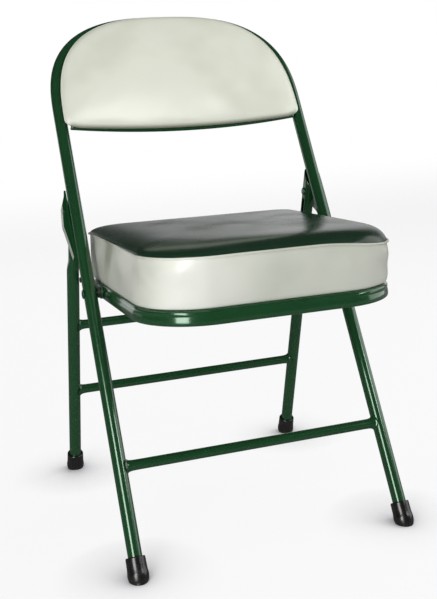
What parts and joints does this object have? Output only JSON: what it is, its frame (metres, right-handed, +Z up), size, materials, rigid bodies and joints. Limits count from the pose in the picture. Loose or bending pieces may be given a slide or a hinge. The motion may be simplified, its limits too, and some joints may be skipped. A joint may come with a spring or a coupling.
{
  "type": "padded folding chair",
  "caption": "Folding side chair of bent steel tube with a D-shaped padded back and a thick boxed seat cushion; the seat and the rear legs fold together flat against the frame.",
  "frame": {"origin": "on the floor, under the middle of the open chair's width and depth", "axes": "+X to the right of someone looking at the chair's front, +Y towards the chair's back, +Z up"},
  "size_m": [0.4546, 0.5538, 0.8064],
  "materials": {
    "green_paint": "gloss dark green enamel",
    "pale_vinyl": "pale cream-grey vinyl with a soft sheen",
    "green_vinyl": "dark green vinyl with a soft sheen",
    "black_rubber": "matte black",
    "bare_steel": "plain zinc-plated",
    "board_wood": "plain board, hidden",
    "pale_foam": "open-cell foam, hidden"
  },
  "bodies": {
    "front_frame": {"back_board": "board_wood", "back_pad": "pale_vinyl", "back_panel": "green_paint", "front_foot_left": "black_rubber", "front_foot_right": "black_rubber", "front_frame_tube": "green_paint", "front_stretcher": "green_paint", "hinge_plate_left": "green_paint", "hinge_plate_right": "green_paint", "leg_pivot_rivet_left": "green_paint", "leg_pivot_rivet_right": "green_paint", "leg_washer_left": "bare_steel", "leg_washer_right": "bare_steel", "seat_pivot_pin_left": "bare_steel", "seat_pivot_pin_right": "bare_steel", "seat_pivot_spacer_left": "bare_steel", "seat_pivot_spacer_right": "bare_steel"},
    "rear_legs": {"rear_upper_stretcher": "green_paint", "rear_lower_stretcher": "green_paint", "rear_leg_left": "green_paint", "rear_leg_right": "green_paint", "rear_foot_left": "black_rubber", "rear_foot_right": "black_rubber"},
    "seat": {"seat_pan": "green_paint", "seat_board": "board_wood", "seat_foam": "pale_foam", "seat_cushion": "pale_vinyl", "seat_top": "green_vinyl", "seat_welt": "pale_vinyl", "seat_bracket_left": "green_paint", "seat_bracket_right": "green_paint", "slide_stud_left": "bare_steel", "slide_stud_right": "bare_steel"}
  },
  "joints": [
    {"name": "seat_fold", "type": "hinge", "parent": "front_frame", "child": "seat", "pos_m": [0, 0.01045, 0.372], "axis": [1, 0, 0], "range_deg": [0, 49.3]},
    {"name": "rear_leg_fold", "type": "hinge", "parent": "front_frame", "child": "rear_legs", "pos_m": [0, 0.11137, 0.49032], "axis": [-1, 0, 0], "range_deg": [0, 46.2]}
  ],
  "couplings": [
    {"joint": "rear_leg_fold", "follows": "seat_fold", "ratio": 0.9371}
  ]
}
